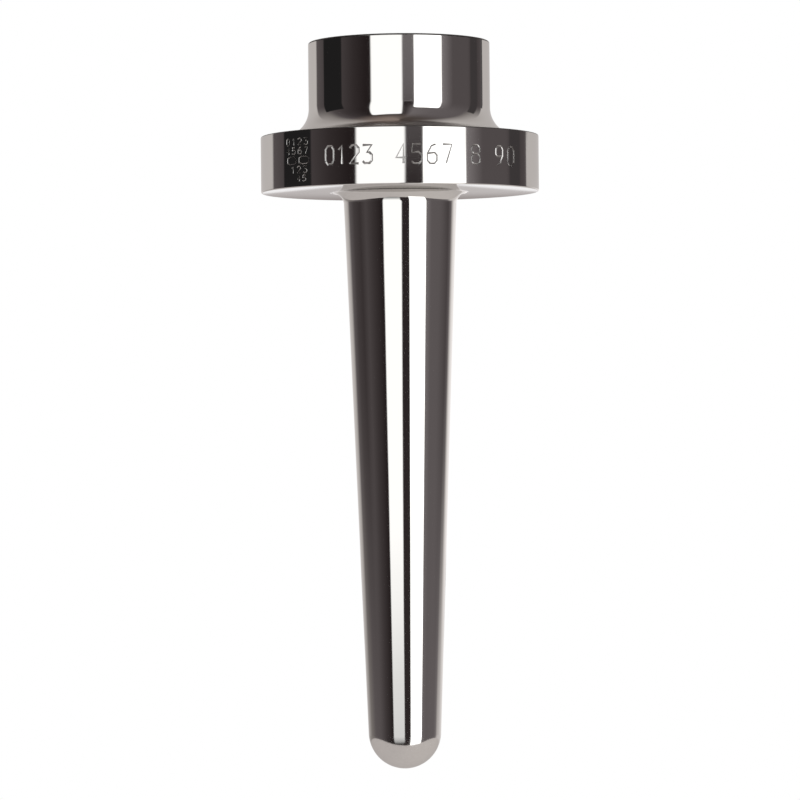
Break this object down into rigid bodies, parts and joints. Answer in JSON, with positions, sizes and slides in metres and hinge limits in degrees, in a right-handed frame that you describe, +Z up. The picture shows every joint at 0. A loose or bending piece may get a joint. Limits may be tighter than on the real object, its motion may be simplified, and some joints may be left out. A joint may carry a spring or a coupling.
{
  "type": "thermowell",
  "caption": "Lap-joint thermowell: a round head over a thick collar, a tapered stem with a half-ball tip, a deep blind bore and a threaded port.",
  "frame": {"origin": "centre of the gasket face, the flat underside of the collar, on the axis of the bore", "axes": "+Z up the bore and out of the head; the stem runs down along -Z; X and Y are any two directions across the round body"},
  "size_m": [0.0734, 0.0734, 0.1921],
  "materials": {
    "polished_steel": "mirror polished"
  },
  "bodies": {
    "root": {"thermowell": "polished_steel"}
  },
  "joints": []
}
